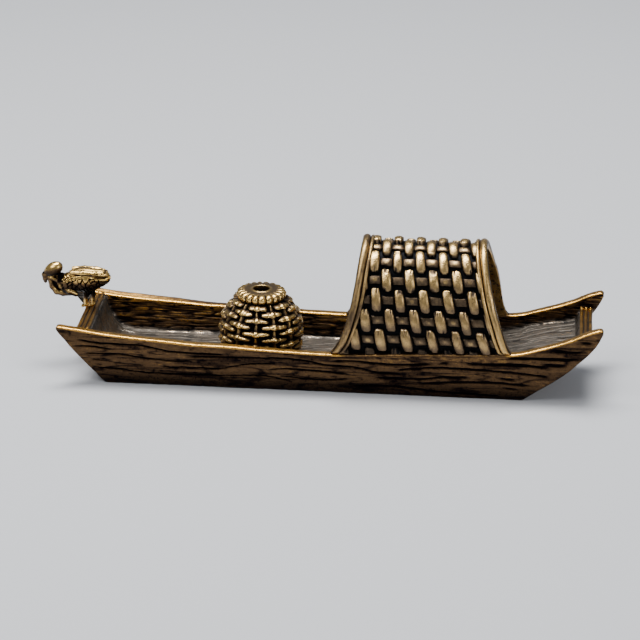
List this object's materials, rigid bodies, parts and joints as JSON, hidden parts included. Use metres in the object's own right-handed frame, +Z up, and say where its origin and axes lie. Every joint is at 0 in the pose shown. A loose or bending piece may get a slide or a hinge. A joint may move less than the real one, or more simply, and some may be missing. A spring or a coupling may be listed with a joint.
{
  "type": "incense burner",
  "caption": "Brass stick incense burner shaped as a fishing boat, with a woven arched canopy, a wicker basket that holds the stick, and a cormorant on the bow.",
  "frame": {"origin": "on the table, under the middle of the overall length and width", "axes": "+X from bow to stern, +Y to the side away from the picture's viewer, +Z up"},
  "size_m": [0.1199, 0.0258, 0.0316],
  "materials": {
    "hull_brass": "antique patina, wood-grain relief, edges rubbed bright",
    "canopy_brass": "polished weave over dark recesses",
    "basket_brass": "polished wicker over dark recesses",
    "bird_brass": "polished feathers over dark recesses"
  },
  "bodies": {
    "root": {"hull": "hull_brass", "bow_crossbar": "hull_brass", "stern_crossbar": "hull_brass", "canopy_shell": "canopy_brass", "canopy_front_rib": "canopy_brass", "canopy_rear_rib": "canopy_brass", "basket_body": "basket_brass", "basket_collar": "basket_brass", "cormorant_body": "bird_brass", "cormorant_head": "bird_brass", "cormorant_near_leg": "bird_brass", "cormorant_far_leg": "bird_brass"}
  },
  "joints": []
}
